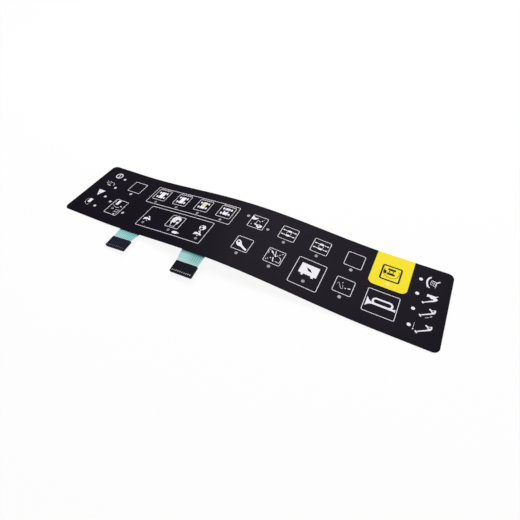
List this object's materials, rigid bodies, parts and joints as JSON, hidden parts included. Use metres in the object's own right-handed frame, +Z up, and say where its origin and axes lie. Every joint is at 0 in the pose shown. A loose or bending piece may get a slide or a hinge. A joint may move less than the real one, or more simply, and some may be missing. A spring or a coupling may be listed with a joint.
{
  "type": "membrane keypad",
  "caption": "Long rippled membrane keypad: printed film panel over snap domes and indicator lamps, with two flat film tails ending in multi-way plugs.",
  "frame": {"origin": "middle of the whole footprint, tails and plugs included, on the surface that the keypad lies on", "axes": "+X along the panel, from the end with the boxed key group to the end with the yellow field; +Y from the plugs to the far edge; +Z up out of the printed face"},
  "size_m": [0.4498, 0.122, 0.012],
  "materials": {
    "overlay_black": "fine matt texture on printed film",
    "ink_white": "white print",
    "ink_yellow": "yellow print",
    "window_white": "white diffusing window",
    "window_grey": "grey diffusing window",
    "adhesive": "milky pressure-sensitive adhesive",
    "liner": "coated liner paper",
    "spacer": "white polyester film",
    "circuit_film": "teal insulating coat on polyester film",
    "dome_steel": "stainless spring steel",
    "lamp": "clear resin on a white base",
    "plug_black": "black moulded plastic",
    "contact_metal": "tin-plated bronze"
  },
  "bodies": {
    "root": {"release_liner": "liner", "rear_adhesive": "adhesive", "circuit_film": "circuit_film", "component_spacer": "spacer", "overlay_adhesive": "adhesive", "graphic_overlay": "overlay_black", "yellow_field": "ink_yellow", "key_outlines": "ink_white", "side_windows": "window_white", "key_windows": "window_grey", "snap_dome_01": "dome_steel", "snap_dome_02": "dome_steel", "snap_dome_03": "dome_steel", "snap_dome_04": "dome_steel", "snap_dome_05": "dome_steel", "snap_dome_06": "dome_steel", "snap_dome_07": "dome_steel", "snap_dome_08": "dome_steel", "snap_dome_09": "dome_steel", "snap_dome_10": "dome_steel", "snap_dome_11": "dome_steel", "snap_dome_12": "dome_steel", "snap_dome_13": "dome_steel", "snap_dome_14": "dome_steel", "snap_dome_15": "dome_steel", "snap_dome_16": "dome_steel", "snap_dome_17": "dome_steel", "indicator_lamp_01": "lamp", "indicator_lamp_02": "lamp", "indicator_lamp_03": "lamp", "indicator_lamp_04": "lamp", "indicator_lamp_05": "lamp", "indicator_lamp_06": "lamp", "indicator_lamp_07": "lamp", "indicator_lamp_08": "lamp", "indicator_lamp_09": "lamp", "indicator_lamp_10": "lamp", "indicator_lamp_11": "lamp", "indicator_lamp_12": "lamp", "indicator_lamp_13": "lamp", "indicator_lamp_14": "lamp", "indicator_lamp_15": "lamp", "indicator_lamp_16": "lamp", "indicator_lamp_17": "lamp", "indicator_lamp_18": "lamp", "indicator_lamp_19": "lamp", "indicator_lamp_20": "lamp", "indicator_lamp_21": "lamp", "indicator_lamp_22": "lamp", "indicator_lamp_23": "lamp", "indicator_lamp_24": "lamp", "indicator_lamp_25": "lamp", "indicator_lamp_26": "lamp", "indicator_lamp_27": "lamp", "indicator_lamp_28": "lamp", "left_plug_housing": "plug_black", "left_plug_contacts": "contact_metal", "right_plug_housing": "plug_black", "right_plug_contacts": "contact_metal"}
  },
  "joints": []
}
